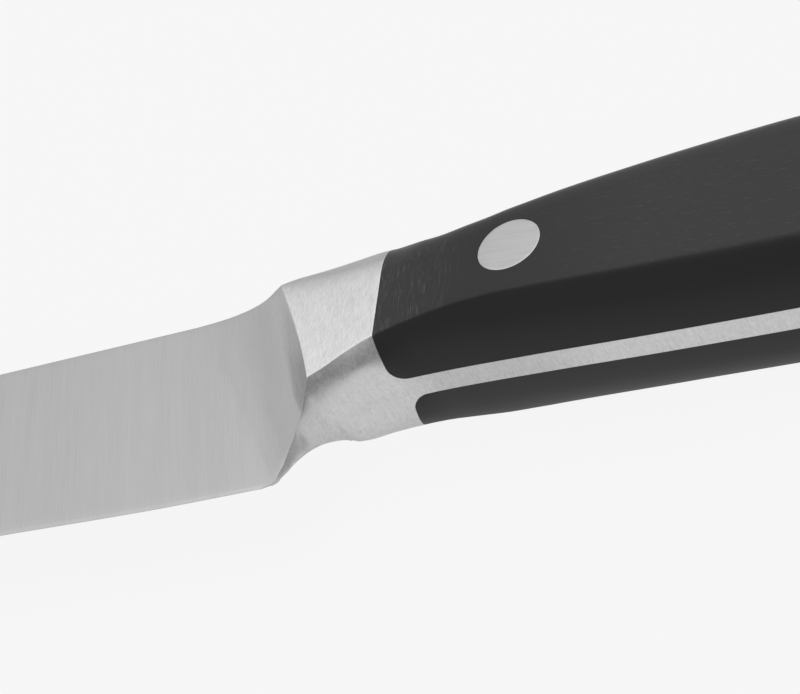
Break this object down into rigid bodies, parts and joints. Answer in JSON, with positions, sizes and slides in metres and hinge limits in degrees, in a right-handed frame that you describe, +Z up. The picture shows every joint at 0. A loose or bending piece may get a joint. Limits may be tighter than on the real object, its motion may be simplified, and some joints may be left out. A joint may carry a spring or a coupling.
{
  "type": "fillet knife",
  "caption": "Slim forged fillet knife with a long narrow blade, a sculpted bolster and black scales riveted to a full tang.",
  "frame": {"origin": "centre of the underside of the knife's box, on the surface that the knife lies on", "axes": "the knife lies on its side: X along its length with the tip at -X and the butt at +X, Y across the blade with the cutting edge at -Y and the spine at +Y, Z up through its thickness"},
  "size_m": [0.3266, 0.031, 0.0172],
  "materials": {
    "forged_steel": "fine satin grind on the blade, brushed bolster and tang",
    "rivet_steel": "ground flush with the scales, fine satin",
    "black_scales": "satin black moulded plastic with fine rubbing marks"
  },
  "bodies": {
    "root": {"blade_bolster_and_tang": "forged_steel", "upper_scale": "black_scales", "lower_scale": "black_scales", "rivet_1_pin_half": "rivet_steel", "rivet_1_sleeve_half": "rivet_steel", "rivet_2_pin_half": "rivet_steel", "rivet_2_sleeve_half": "rivet_steel", "rivet_3_pin_half": "rivet_steel", "rivet_3_sleeve_half": "rivet_steel"}
  },
  "joints": []
}
